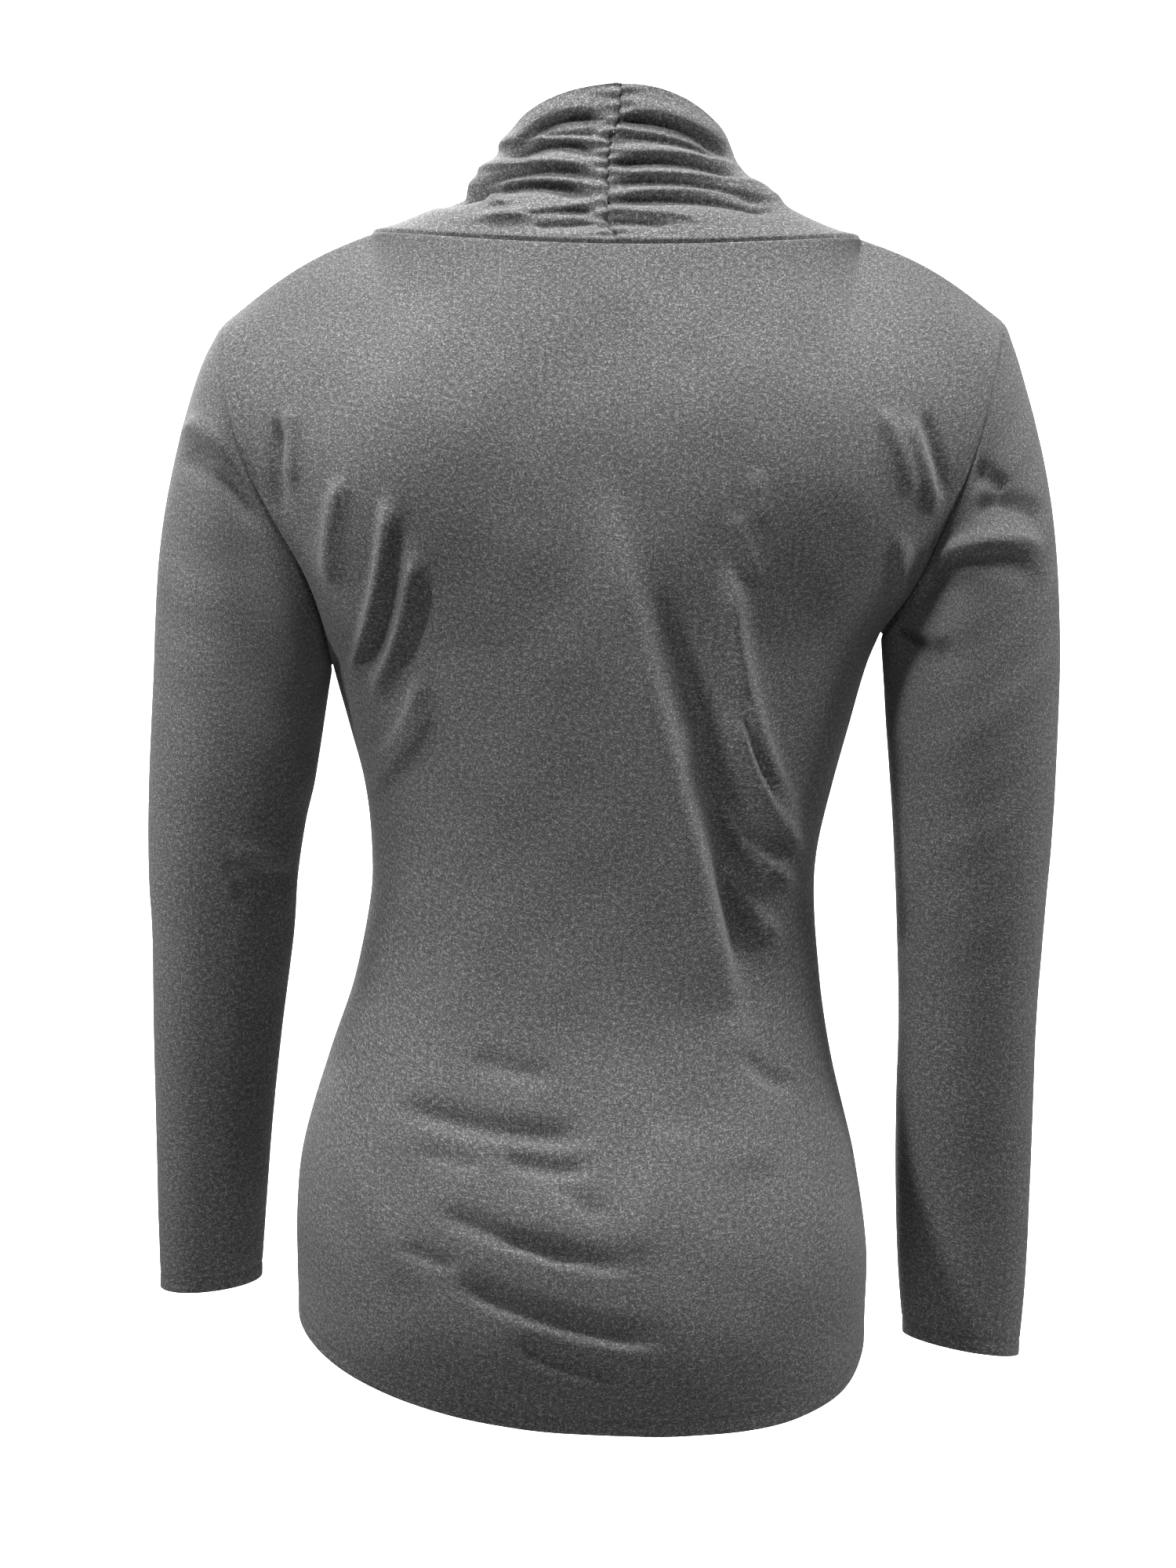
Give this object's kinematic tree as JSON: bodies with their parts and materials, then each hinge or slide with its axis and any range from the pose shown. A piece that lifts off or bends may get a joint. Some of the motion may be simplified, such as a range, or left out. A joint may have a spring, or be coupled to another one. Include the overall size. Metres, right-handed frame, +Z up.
{
  "type": "long-sleeve cowl-neck t-shirt",
  "caption": "Fitted long-sleeve jersey top with a tall cowl collar gathered down its centre back and rounded tails, filled out as worn.",
  "frame": {"origin": "middle of the neck base, at the height of the back neck seam, where the wearer holds the top up", "axes": "+Z up, +Y out of the wearer's back, +X to the wearer's left"},
  "size_m": [0.4891, 0.235, 0.7132],
  "materials": {
    "jersey": "heather charcoal grey knit jersey, matt"
  },
  "bodies": {
    "root": {"back_panel": "jersey", "front_panel": "jersey", "left_sleeve": "jersey", "right_sleeve": "jersey", "collar": "jersey"}
  },
  "joints": []
}
